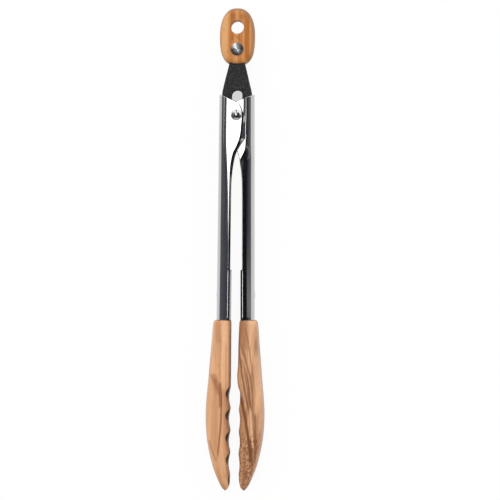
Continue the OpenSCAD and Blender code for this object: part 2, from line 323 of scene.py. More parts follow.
@dataclass(frozen=True)
class SpunSteel:
    """Steel turned on its face: fine rings round a centre, with a painted highlight along one diagonal."""

    name: str
    centre: tuple[float, float]
    colour: Colour = (0.80, 0.79, 0.79)
    ring_pitch: float = 0.0003
    ring_depth: float = 0.000008
    roughness: float = 0.22

    def make(self) -> bpy.types.Material:
        """The material."""
        made, m = material(self.name)
        x, y, _ = m.axes(m.place((1, 1, 1), (-self.centre[0], -self.centre[1], 0)))
        radius = (x * x + y * y) ** 0.5
        rings = (radius * (2 * math.pi / self.ring_pitch)).sin() * 0.5 + 0.5
        worn = m.noise(m.place((700, 700, 700)), 3.0)
        # Painted highlight: the colour runs lit along one diagonal, with a shaded copy across it.
        glint = (-2 * x * y / (radius * radius + 1e-9) + (worn - 0.5) * 0.5).rise(0.1, 0.9)
        m.surface(
            Base_Color=m.blend(glint, shaded(self.colour, 0.32), self.colour),
            Metallic=1.0,
            Roughness=self.roughness + 0.12 * worn,
            Normal=m.bump(rings, self.ring_depth),
        )
        return made


@dataclass(frozen=True)
class DrawnSteel:
    """Plain turned or drawn steel of the hidden parts."""

    name: str
    colour: Colour = (0.46, 0.46, 0.47)
    roughness: float = 0.32

    def make(self) -> bpy.types.Material:
        """The material."""
        made, m = material(self.name)
        grain = m.noise(m.place((1800, 1800, 1800)))
        m.surface(
            Base_Color=m.blend(grain.rise(0.3, 0.8), self.colour, shaded(self.colour, 0.8)),
            Metallic=1.0,
            Roughness=self.roughness + 0.1 * grain,
            Normal=m.bump(grain, 0.000004),
        )
        return made


@dataclass(frozen=True)
class MouldedPlastic:
    """Black moulded plastic with a fine spark-eroded texture."""

    name: str
    colour: Colour = (0.011, 0.0106, 0.0104)

    def make(self) -> bpy.types.Material:
        """The material."""
        made, m = material(self.name)
        fine = m.noise(m.place((900, 900, 900)), 4.0, 0.8)
        broad = m.noise(m.place((420, 420, 420)))
        speck = fine.rise(0.5, 0.64) * 0.8 + broad.rise(0.5, 0.8) * 0.2
        m.surface(
            Base_Color=m.blend(speck, self.colour, shaded(self.colour, 5.4)),
            Roughness=0.46 + 0.22 * fine,
            Normal=m.bump(fine, 0.0002),
            Specular_IOR_Level=0.3,
        )
        return made


class Tone(Enum):
    """Which of a wood's colours a streak has."""

    PALE = "pale"
    MID = "mid"
    DARK = "dark"
    HEART = "heart"


@dataclass(frozen=True)
class Streak:
    """A line in the wood, in millimetres from the pivot.

    It runs along Y from start to end, and lies at x where it starts. By its end it has moved
    by lean, and by bow with the square of the way. It fades out at width to either side, and
    covers the share depth of what lies under it.
    """

    start: float
    end: float
    x: float
    lean: float
    bow: float
    width: float
    depth: float
    tone: Tone = Tone.HEART


@dataclass(frozen=True)
class OliveWood:
    """Oiled olive wood: pale bands, brown figure along Y, fine pores and chosen dark streaks, painted light
    on the rim and painted shade in the hollows.
    """

    name: str
    layout: "Layout"
    pale: Colour
    mid: Colour
    dark: Colour
    heart: Colour
    seed: float
    lean: float = 0.0
    figure: float = 0.6
    # Colour of painted light on the rounded outer edge: a grey sheen on the jaws, dark shade on the tab.
    rim: Colour = (0.56, 0.45, 0.36)
    # Colour of the painted shade in the jaws' hollows.
    grip: Colour = (0.022, 0.011, 0.006)
    streaks: tuple[Streak, ...] = ()
    burr: tuple[float, float] | None = None

    def make(self) -> bpy.types.Material:
        """The material."""
        made, m = material(self.name)
        shift = (self.seed, self.seed * 0.37, self.seed * 0.61)
        sway = m.noise(m.place((28, 11, 28), shift)) - 0.5
        x, y, z = m.axes(m.place())
        across = x + sway * 0.010 + y * self.lean + z * 0.35
        bands = m.noise(m.move(m.vector(across * 210, y * 7.5, z * 60), shift=shift), 3.0, 0.55)
        fibre = m.noise(m.vector(across * 1500, y * 55, z * 500), 3.0, 0.6)
        colour = m.ramp(bands, [(0.30, self.pale), (0.48, self.mid), (0.62, self.dark), (0.74, self.mid)])
        colour = m.blend(fibre.rise(0.45, 0.72) * 0.5, colour, self.dark)
        colour = m.blend((1 - fibre).rise(0.55, 0.8) * 0.3, colour, self.pale)
        rings = (bands * 9.0 + sway * 4.0).sin().abs()
        colour = m.blend((1 - rings).rise(0.86, 1.0) * self.figure, colour, self.heart)
        for streak in self.streaks:
            share = self._streak(streak, x, y, sway + (fibre - 0.5) * 0.25)
            colour = m.blend(share, colour, getattr(self, streak.tone.value))
        if self.burr:
            colour = self._burr(m, colour, y)
        # Painted sheen on the jaws' outer edges and painted shade on the tab's rim.
        colour = m.blend(m.mark("rim") * 0.55, colour, self.rim)
        # Painted shade in the hollows between the jaws' teeth.
        colour = m.blend(m.mark("grip") * 0.92, colour, self.grip)
        pore = m.noise(m.place((2600, 190, 2600), shift), 1.0).rise(0.66, 0.76)
        m.surface(
            Base_Color=m.blend(pore * 0.45, colour, self.heart),
            Roughness=0.44 + 0.12 * fibre + 0.1 * pore,
            Normal=m.bump(fibre * 0.5 - pore, 0.00005),
            Specular_IOR_Level=0.38,
        )
        return made

    def _streak(self, streak: Streak, x: Number, y: Number, sway: Number) -> Number:
        """Share of the streak's tone along one streak.

        The distance from the line x = x0 + lean * t + bow * t * t, where t runs from 0 at the
        streak's start to 1 at its end, fades out over the streak's width and at both ends.

        Args:
            streak: the streak.
            x: coordinate across, in metres.
            y: coordinate along, in metres.
            sway: slow noise about 0.

        Returns:
            A number from 0 to 1.
        """
        origin = self.layout.pivot[1] + streak.start * MM
        t = (origin - y) / ((streak.start - streak.end) * MM)
        line = t * (streak.lean * MM) + t * t * (streak.bow * MM) + sway * 0.0035 + streak.x * MM
        near = 1 - ((x - line).abs() / (streak.width * MM)).rise(0.25, 1.0)
        ends = t.rise(-0.06, 0.12) * (1 - t.rise(0.85, 1.05))
        return near * ends * streak.depth

    def _burr(self, m: Maker, colour: Socket, y: Number) -> Socket:
        """Curly figure between two heights.

        Args:
            m: the material under construction.
            colour: the colour under it.
            y: coordinate along, in metres.

        Returns:
            The colour with the figure.
        """
        high, low = (self.layout.pivot[1] + end * MM for end in self.burr)
        knots = m.noise(m.place((300, 170, 300), (self.seed, 0, 0), (0, 0, 0.5)), 3.0, 0.6)
        curls = (knots * 38.0).sin() * 0.5 + 0.5
        share = (high - y).rise(0.0, 0.016) * (y - low).rise(-0.004, 0.0)
        return m.blend(share * curls.rise(0.35, 0.9) * 0.78, colour, self.heart)


# ---------------------------------------------------------------- shapes


Points = np.ndarray
Size = np.ndarray | float
Line = tuple[tuple[float, float], ...]


def curve_through(points: Line, steps: int) -> Points:
    """Smooth curve through points.

    Each span is the cubic whose slope at either end is half the difference of that end's
    neighbours (the Catmull-Rom form), taken at equal steps.

    Args:
        points: the points in order.
        steps: steps in each span.

    Returns:
        An array of points, one row each.
    """
    p = np.asarray(points, float)
    q = np.vstack([p[:1], p, p[-1:]])
    t = (np.arange(steps) / steps)[None, :, None]
    a, b, c, d = (q[i : len(q) - 3 + i, None, :] for i in range(4))
    spans = 0.5 * (2 * b + (c - a) * t + (2 * a - 5 * b + 4 * c - d) * t**2 + (3 * b - a - 3 * c + d) * t**3)
    return np.vstack([spans.reshape(-1, p.shape[1]), p[-1:]])


def fair(points: Line, s: Points) -> Points:
    """Height at s of a smooth line through unevenly spaced points.

    Each span is the cubic that keeps both heights and the mean slope of the neighbours.

    Args:
        points: place and height of each point.
        s: places at which the height is wanted.

    Returns:
        The heights.
    """
    p = np.asarray(points, float)
    q = np.vstack([p[:1], p, p[-1:]])
    slope = (q[2:, 1] - q[:-2, 1]) / (q[2:, 0] - q[:-2, 0])
    i = np.clip(np.searchsorted(p[:, 0], s, side="right") - 1, 0, len(p) - 2)
    w = p[i + 1, 0] - p[i, 0]
    t = (s - p[i, 0]) / w
    u = 1 - t
    heights = p[i, 1] * (1 + 2 * t) * u**2 + p[i + 1, 1] * t**2 * (3 - 2 * t)
    return heights + slope[i] * w * t * u**2 - slope[i + 1] * w * t**2 * u


def joined(*parts: Size) -> Points:
    """Parts side by side on a new last axis, where a plain number stands for a whole part."""
    return np.stack(np.broadcast_arrays(*parts), -1)


def ease(t: Points) -> Points:
    """Smooth step of t from 0 to 1, as 3 t squared less 2 t cubed."""
    t = np.clip(t, 0, 1)
    return t * t * (3 - 2 * t)


def even_steps(paths: Points, count: int, short: Points) -> Points:
    """Places points evenly along each path.

    Args:
        paths: rows by points by 2.
        count: points wanted on each row.
        short: length left off at the end of each path, as a column.

    Returns:
        Rows by count by 2.
    """
    steps = np.linalg.norm(np.diff(paths, axis=1), axis=-1)
    far = np.concatenate([np.zeros((len(paths), 1)), np.cumsum(steps, 1)], 1)
    wanted = np.linspace(0, 1, count)[None, :] * (far[:, -1:] - short)
    rows = [[np.interp(w, f, p[:, k]) for k in (0, 1)] for w, f, p in zip(wanted, far, paths)]
    return np.stack(rows).transpose(0, 2, 1)


def grid_faces(rows: int, cols: int, wrap_rows: bool) -> np.ndarray:
    """Quads of a grid whose point (i, j) has the number i * cols + j, and whose rows are rings.

    Args:
        rows: number of rows.
        cols: number of columns.
        wrap_rows: whether the last row joins the first.

    Returns:
        Four point numbers for each quad.
    """
    i = np.arange(rows if wrap_rows else rows - 1)
    a, b = np.meshgrid(i, np.arange(cols), indexing="ij")
    below, beside = (a + 1) % rows, (b + 1) % cols
    corners = ((a, b), (a, beside), (below, beside), (below, b))
    return joined(*(row * cols + col for row, col in corners)).reshape(-1, 4)


@dataclass
class Shell:
    """Points and faces of a piece under construction, in metres."""

    points: list[Points] = field(default_factory=list)
    faces: list[list[int]] = field(default_factory=list)
    marks: dict[str, Points] = field(default_factory=dict)
    count: int = 0
    sharp: ClassVar[float] = math.radians(42)

    def add_grid(self, grid: Points, wrap_rows: bool = False, ends: bool = False) -> "Shell":
        """Adds a grid of points whose last column joins the first.

        Args:
            grid: rows by columns by 3.
            wrap_rows: whether the last row joins the first.
            ends: whether the first and last rows are closed by a flat face.

        Returns:
            The shell itself.
        """
        rows, cols = grid.shape[:2]
        quads = grid_faces(rows, cols, wrap_rows) + self.count
        self.faces += quads.tolist()
        if ends:
            first = np.arange(cols)[::-1] + self.count
            last = np.arange(cols) + self.count + (rows - 1) * cols
            self.faces += [first.tolist(), last.tolist()]
        self.points.append(grid.reshape(-1, 3))
        self.count += rows * cols
        return self

    def add_sheet(self, loops: Points) -> None:
        """Adds a folded sheet as closed loops, with a strip of quads across each end.

        Args:
            loops: rows by points by 3, where point j of a loop faces point j from its end.
        """
        rows, cols = loops.shape[:2]
        j = np.arange(cols // 2 - 1)
        strip = joined(j, j + 1, cols - 2 - j, cols - 1 - j) + self.count
        self.faces += strip[:, ::-1].tolist() + (strip + (rows - 1) * cols).tolist()
        self.add_grid(loops)

    def build(self, name: str, node: str | None = None) -> bpy.types.Object:
        """Makes the object, with outward normals and smooth shading.

        Args:
            name: the object's name.
            node: the frame's node that it replaces, if it replaces one.

        Returns:
            The object, linked to the scene.
        """
        mesh = bpy.data.meshes.new(name)
        mesh.from_pydata(np.vstack(self.points).tolist(), [], self.faces)
        work = bmesh.new()
        work.from_mesh(mesh)
        bmesh.ops.recalc_face_normals(work, faces=work.faces)
        work.to_mesh(mesh)
        work.free()
        for mark, values in self.marks.items():
            attribute = mesh.attributes.new(mark, "FLOAT", "POINT")
            attribute.data.foreach_set("value", values.astype(np.float32).ravel())
        mesh.polygons.foreach_set("use_smooth", np.ones(len(mesh.polygons), bool))
        mesh.set_sharp_from_angle(angle=self.sharp)
        return link(name, mesh, node)


def link(name: str, data: bpy.types.ID | None, node: str | None = None) -> bpy.types.Object:
    """Links an object to the scene.

    Args:
        name: the object's name.
        data: its mesh, camera or lamp.
        node: the frame's node that it replaces, if it replaces one.

    Returns:
        The object.
    """
    made = bpy.data.objects.new(name, data)
    bpy.context.scene.collection.objects.link(made)
    if node:
        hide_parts(node)
    return made


def oval(half_x: Size, half_y: Size, power: Size, angle: Points) -> tuple[Points, Points]:
    """Point of a superellipse: each half size times the cosine or sine to the power 2 / n."""
    c, s = np.cos(angle), np.sin(angle)
    return half_x * np.sign(c) * np.abs(c) ** (2 / power), half_y * np.sign(s) * np.abs(s) ** (2 / power)


def revolve(profile: Points, steps: int) -> Points:
    """Carries a profile round the Z axis: r cos a, r sin a and z, in steps of a.

    Args:
        profile: one row for each point, radius r then height z.
        steps: steps round the axis.

    Returns:
        Grid of profile points by steps.
    """
    angle = np.linspace(0, 2 * np.pi, steps, endpoint=False)
    r, z = profile[:, :1], profile[:, 1:]
    return joined(r * np.cos(angle), r * np.sin(angle), z)


def arc(centre: tuple[float, float], radius: float, start: float, end: float, steps: int) -> Points:
    """Points on a circle from one angle to another, in degrees."""
    a = np.radians(np.linspace(start, end, steps + 1))
    return joined(centre[0] + radius * np.cos(a), centre[1] + radius * np.sin(a))


def dome(radius: float, height: float, top: float, share: float, steps: int) -> Points:
    """Profile of a spherical cap from its middle towards its rim.

    The ball's radius is (radius squared + height squared) / (2 height).

    Args:
        radius: the cap's radius.
        height: its height.
        top: where its top lies.
        share: how much of the way to the rim is drawn.
        steps: steps along the profile.

    Returns:
        Rows of radius and height.
    """
    ball = (radius**2 + height**2) / (2 * height)
    reach = math.degrees(math.asin(radius / ball))
    cap = arc((0, top - ball), ball, 90, 90 - reach * share, steps)
    cap[0, 0] = POLE
    return cap


# ---------------------------------------------------------------- layout


@dataclass(frozen=True)
class Layout:
    """Places that the frame gives: the pivot and the ends of the arms, jaws and tab."""

    pivot: Vector
    splay: float = math.radians(0.38)

    @classmethod
    def from_frame(cls) -> "Layout":
        """Reads the pivot from the frame's joints."""
        hinge = next(j for j in frame["joints"] if j["name"] == "left_arm_hinge")
        return cls(Vector(hinge["pos_m"]))

    def place(self, points: Points, side: Side | None = None, splay: bool = False) -> Points:
        """Millimetres from the pivot, drawn for the left side, to metres in the frame.

        Args:
            points: an array whose last axis is X, Y, Z.
            side: the side that the piece is for, or None on the centre line.
            splay: whether the piece leans with its arm.

        Returns:
            The points in the frame.
        """
        x, y, z = (points[..., i] * MM for i in range(3))
        if splay:
            c, s = math.cos(self.splay), math.sin(self.splay)
            x, y = x * c + y * s, y * c - x * s
        if side is Side.RIGHT:
            x = -x
        return joined(x + self.pivot[0], y + self.pivot[1], z + self.pivot[2])

    def reach(self, node: str, axis: int, high: bool) -> float:
        """How far a node reaches along an axis, in millimetres from the pivot."""
        return (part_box(node)[int(high)][axis] - self.pivot[axis]) / MM

    def shoulder(self) -> float:
        """Where the arms end and the jaws' wood begins, as millimetres along Y from the pivot."""
        return self.reach("left_jaw", 1, False) + JAW_LENGTH


def dress(piece: bpy.types.Object, finish: bpy.types.Material, body: str) -> None:
    """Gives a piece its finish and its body.

    Args:
        piece: the piece.
        finish: its material.
        body: the body that it rides on.
    """
    piece.data.materials.clear()
    piece.data.materials.append(finish)
    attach(piece, body)
    log.info("%s: %d faces on %s", piece.name, len(piece.data.polygons), body)


# ---------------------------------------------------------------- arms


@dataclass(frozen=True)
class Flange:
    """How a side's flange lies along its arm, as pairs of Y and a value.

    The lean is the share of its height that the section loses at the wall. The crown is how
    far from the centre line the section's curve ends, and the level where the lean starts.
    """

    lean: Line
    crown: Line
    level: Line


@dataclass
class Arm:
    """One folded sheet arm: channel, ears at the pivot, and the closed ferrule below."""

    layout: Layout
    side: Side
    half_width: float = 11.1
    depth: float = 10.0
    power: float = 3.0
    slope: float = 0.14
    sheet: float = 0.7
    plain_roll: float = 0.35
    edge_roll: float = 0.9
    end_radius: float = 0.25
    flange_x: float = 3.57
    ferrule_x: float = 2.52
    ferrule_length: float = 31.3
    ferrule_fold: float = 1.35
    seam: float = 0.4
    drop: float = 0.85
    top: float = 12.7
    columns: int = 96
    # The next five place painted shade: heights where the right arm's edge line is left off, rows and reach
    # of the painted shadow at the left V, strength of the painted shade on the ferrule's inner faces, and
    # radius of the painted shadow of a notch at the fold.
    bright_edge: tuple[float, float] = (-31, -17)
    vee_rows: int = 5
    vee_reach: float = 5.4
    inner_shade: float = 0.75
    notch_shadow: float = 0.95
    ear: Line = (
        (0.3, 7.9), (2.7, 5.5), (4.15, 0.6), (3.9, -6.0), (3.2, -13.0), (1.35, -18.7), (-1.1, -24.0),
        (-2.5, -31.0), (-3.4, -40.0), (-3.57, -52.0),
    )
    flanges: ClassVar[dict[Side, Flange]] = {
        Side.LEFT: Flange(
            lean=((-110, 0.14), (-86, 0.14), (-70, 0.05), (-52, 0.026), (-34, 0.011), (-18, 0.0), (20, 0.0)),
            crown=((-110, 4.6), (-80, 4.2), (-52, 3.4), (-34, 3.8), (-18, 4.8), (20, 4.8)),
            level=((-110, 0.0), (20, 0.0)),
        ),
        Side.RIGHT: Flange(
            lean=((-110, 0.14), (20, 0.14)),
            crown=((-110, 4.8), (20, 4.8)),
            level=(
                (-110, 1.8), (-33, 1.8), (-28.7, 2.1), (-26.6, 3.2), (-24.2, 4.7), (-22.0, 5.6), (-19, 6.0),
                (-16, 5.9), (-13.5, 5.65), (20, 5.8),
            ),
        ),
    }
    press_foot: Line = (
        (-44, -12), (-28, -4.6), (-24, -2.2), (-22.4, -0.9), (-20.7, 0.4), (-18, 1.75), (-16, 2.5),
        (-14.5, 2.6), (-12.6, 2.4), (-8, 2.6), (-4, 3.4), (0, 4.1), (4, 4.5), (14, 4.6),
    )
    press_top: Line = (
        (-44, -10.6), (-28, -3.2), (-24, -0.8), (-22.4, -0.1), (-20.7, 1.15), (-18, 2.8), (-16, 4.4),
        (-14.5, 5.6), (-12.6, 6.2), (-8, 6.2), (-4, 6.2), (0, 6.2), (4, 6.2), (14, 6.2),
    )
    press_round: float = 0.002
    # Width and heights of the painted shade along the right arm's pressed bend.
    bend_shade_width: float = 2.4
    bend_shade_span: tuple[float, float] = (-36, -21.5)

    def build(self) -> bpy.types.Object:
        """Makes the channel with its ears as one closed sheet, and the ferrule as another.

        Returns:
            The arm, in place.
        """
        end = self.layout.shoulder()
        ferrule_top = end + self.ferrule_length
        shell = Shell()
        marks = []
        for loops in (self._channel(ferrule_top), self._ferrule(end, ferrule_top)):
            x, y = loops[..., 0], loops[..., 1]
            # A dark line of painted shade along the sheet's edges.
            painted_shade = self._edge_shade(loops.shape[1]) + 0 * x
            if self.side is Side.RIGHT:
                drop, bend_shade = self._joggle(x, y)
                loops[..., 2] -= np.sign(loops[..., 2]) * drop
                # On the right arm the edge line is left off between these heights, and painted shade follows
                # the pressed bend.
                first, last = self.bright_edge
                painted_shade = np.maximum(painted_shade * (1 - ease((y - first) / 2) * ease((last - y) / 2)), bend_shade)
            elif not marks:
                # Painted shadow on the left arm's V towards its tip.
                vee = slice(-self.vee_rows, None)
                painted_shade[vee] = np.maximum(painted_shade[vee], ease((x[vee] + self.vee_reach) / 0.8))
            shell.add_sheet(self.layout.place(loops, self.side, True))
            # Painted shade on the ferrule's inner faces, and a painted shadow at the fold's top.
            marks.append(np.maximum(painted_shade, self._fold_shade(x, y - ferrule_top)).ravel())
        shell.marks["painted_shade"] = np.concatenate(marks)
        return shell.build(f"{self.side.label}_arm_sheet", f"{self.side.label}_arm")

    @staticmethod
    def _edge_shade(count: int) -> Points:
        """Where a loop carries the dark line of painted shade along the sheet's edges.

        A loop starts in the middle of the rear edge, and the front edge lies half way round.

        Args:
            count: points in a loop.

        Returns:
            1 on the edges and 0 elsewhere.
        """
        j = np.arange(count)
        away = np.minimum(np.minimum(j, count - j), np.abs(j - count // 2))
        return (away < 3.5).astype(float)

    def _fold_shade(self, x: Points, above: Points) -> Points:
        """Painted shade on the ferrule's inner faces, and a round painted shadow of a notch at the fold's
        top.

        Args:
            x: coordinates across.
            above: distances above the ferrule's top.

        Returns:
            The marks, from 0 to 1.
        """
        away = np.abs(x) - self.ferrule_x
        inner = self.inner_shade * ease((self.ferrule_fold - away) / 0.4) * (above < 0.01)
        return np.maximum(inner, ease((self.notch_shadow - np.hypot(away - 0.6, above)) / 0.2))

    def _channel(self, ferrule_top: float) -> Points:
        """The channel and ears, row by row from the ferrule to the V at the top.

        Each row is ruled from the middle of the outer wall to the flange's edge, so that the
        top row follows the V and the rows between them fan out.

        Args:
            ferrule_top: where the ferrule starts.

        Returns:
            Closed loops round the sheet, rows by points by 3.
        """
        ear = curve_through(self.ear, 12)[::-1]
        foot = ear[0, 1]
        lower = np.linspace(ferrule_top, foot, 34)[:-1]
        edge = np.vstack([joined(-self.flange_x, lower), ear])
        stretch = (self.top - foot) / (ear[-1, 1] - foot)
        wall = np.where(edge[:, 1] > foot, foot + (edge[:, 1] - foot) * stretch, edge[:, 1])
        flange = self.flanges[self.side]
        lean, crown, level = (fair(line, edge[:, 1:]) for line in (flange.lean, flange.crown, flange.level))
        rolled = ease((edge[:, 1:] + 42) / 12) * (self.side is Side.LEFT)
        roll = self.plain_roll + (self.edge_roll - self.plain_roll) * rolled
        half = self._section(edge[:, :1], lean, crown, roll, np.minimum(edge[:, :1], -level))
        loops = self._fold(half, roll)
        across = np.clip((loops[..., 0] + self.half_width) / (edge[:, :1] + self.half_width), 0, 1)
        y = wall[:, None] + (edge[:, 1:] - wall[:, None]) * across
        rows = joined(loops[..., 0], y, loops[..., 1])
        run = np.array([edge[-1, 0] + self.half_width, edge[-1, 1] - wall[-1], 0.0])
        return self._round_end(rows, np.array([-run[1], run[0], 0.0]) / np.linalg.norm(run))

    def _section(self, edge: Points, slope: Points, crown: Points, roll: Points, start: Points) -> Points:
        """Front half of the section: X and Z from the wall's middle to the flange's edge.

        A quarter of a superellipse about the crown, then level to the edge. The whole height
        falls with the distance from the start of the slope, by slope at the wall.

        Args:
            edge: the flange's edge on each row.
            slope: share of the height lost at the wall on each row.
            crown: distance from the centre line at which the level part starts on each row.
            roll: length left for the rounded edge on each row.
            start: where the fall starts on each row.

        Returns:
            Grid of rows by columns by 2, evenly spaced along each row.
        """
        t = np.linspace(0, 1, 160)[None, :]
        half = self.half_width - crown
        share = np.clip((-crown - edge) / half, 0, 1)
        last = np.arccos(share ** (self.power / 2))
        x, z = oval(half, self.depth, self.power, np.pi - last * t)
        run = np.maximum(edge + crown, 0) * np.linspace(0, 1, 60)[None, 1:]
        x = np.concatenate([x - crown, x[:, -1:] - crown + run], 1)
        z = np.concatenate([z, z[:, -1:] + 0 * run], 1)
        z = z * (1 - slope * np.maximum(start - x, 0) / (start + self.half_width))
        return even_steps(joined(x, z), self.columns, roll)

    def _fold(self, outer: Points, roll: Points) -> Points:
        """Gives half sections their thickness, a rounded edge, and their mirror image.

        The inner face lies one sheet inside the outer one along its normal. The edge is half
        an ellipse between them.

        Args:
            outer: grid of rows by columns by 2.
            roll: length of the rounded edge on each row.

        Returns:
            Closed loops of X and Z, which start in the middle of the rear edge.
        """
        along = np.gradient(outer, axis=1)
        along /= np.linalg.norm(along, axis=-1, keepdims=True)
        out = joined(-along[..., 1], along[..., 0])
        inner = outer - self.sheet * out
        a = np.radians(np.linspace(90, -90, 10))[None, 1:-1, None]
        middle = (outer[:, -1:] + inner[:, -1:]) / 2
        lip = middle + out[:, -1:] * np.sin(a) * self.sheet / 2 + along[:, -1:] * np.cos(a) * roll[..., None]
        front = np.concatenate([outer, lip, inner[:, ::-1]], 1)
        rear = np.concatenate([inner[:, 1:], lip[:, ::-1], outer[:, :0:-1]], 1) * [1, -1]
        start = front.shape[1] + outer.shape[1] - 1 + 4
        return np.roll(np.concatenate([front, rear], 1), -start, axis=1)

    def _round_end(self, rows: Points, way: Points) -> Points:
        """Rounds the sheared edge at the last row.

        Args:
            rows: closed loops.
            way: unit vector out of the end.

        Returns:
            The loops with three more rows.
        """
        last, radius = rows[-1], self.end_radius
        middle = (last + last[::-1]) / 2
        a = np.radians([30, 60, 90])[:, None, None]
        thin = 1 - (1 - np.cos(a)) * radius / (self.sheet / 2)
        return np.concatenate([rows, middle + (last - middle) * thin + way * radius * np.sin(a)])

    def _joggle(self, x: Points, y: Points) -> tuple[Points, Points]:
        """How far the pressed area lies below the flange, and where painted shade lies along its bend.

        The area ends in a ramp with rounded corners, from the line of its foot to the line
        of its top. Both lines run along the arm beside the pivot and slant across below it.
        The painted shade follows the line where the flange's level part ends.

        Args:
            x: coordinates across, drawn for the left side.
            y: coordinates along.

        Returns:
            The drop at each point, and the share of painted shade along the bend.
        """
        foot, top = fair(self.press_foot, y), fair(self.press_top, y)
        t = (x + top) / (top - foot)
        rise, fall = np.sqrt(t * t + self.press_round), np.sqrt((1 - t) ** 2 + self.press_round)
        bend = -x - fair(self.flanges[Side.RIGHT].level, y)
        low, high = self.bend_shade_span
        # Painted shade along the bend.
        bend_shade = ease((bend + 0.1) / 0.3) * ease((self.bend_shade_width - bend) / 1.4)
        bend_shade = bend_shade * ease((high - y) / 2) * ease((y - low) / 6)
        return self.drop * 0.5 * (1 + rise - fall), bend_shade

    def _ferrule(self, end: float, ferrule_top: float) -> Points:
        """The closed lower end, whose flanges turn in and meet at a seam.

        The section follows the channel's to the fold, turns through an arc, and runs down the
        inner face to the seam.

        Args:
            end: lower end of the arm.
            ferrule_top: where the ferrule starts.

        Returns:
            Closed loops round the sheet.
        """
        fold, inner = self.ferrule_fold, self.ferrule_x
        y = np.linspace(ferrule_top, end + self.end_radius, 20)[:, None]
        roll = np.full_like(y, self.plain_roll)
        crown = 0 * y + self.flanges[self.side].crown[0][1]
        edge = 0 * y - self.flange_x
        body = self._section(edge, 0 * y + self.slope, crown, roll, edge)
        tilt = math.atan(self.slope * self.depth / (self.half_width - self.flange_x))
        start = -inner - fold * (1 + math.sin(tilt))
        body = body[:, : np.argmax(body[0, :, 0] > start) - 1]
        height = body[0, -1, 1] + (start - body[0, -1, 0]) * math.tan(tilt) - fold * math.cos(tilt)
        turn = arc((-inner - fold, height), fold, 90 + math.degrees(tilt), 0, 16)
        face = joined(-inner, np.linspace(height, self.seam, 16)[1:])
        lip = np.vstack([turn, face])
        lip = np.broadcast_to(lip, (len(y), *lip.shape))
        outer = even_steps(np.concatenate([body, lip], 1), self.columns + 24, roll)
        loops = self._fold(outer, roll)
        rows = joined(loops[..., 0], y, loops[..., 1])
        return self._round_end(rows, np.array([0.0, -1.0, 0.0]))


# ---------------------------------------------------------------- jaws


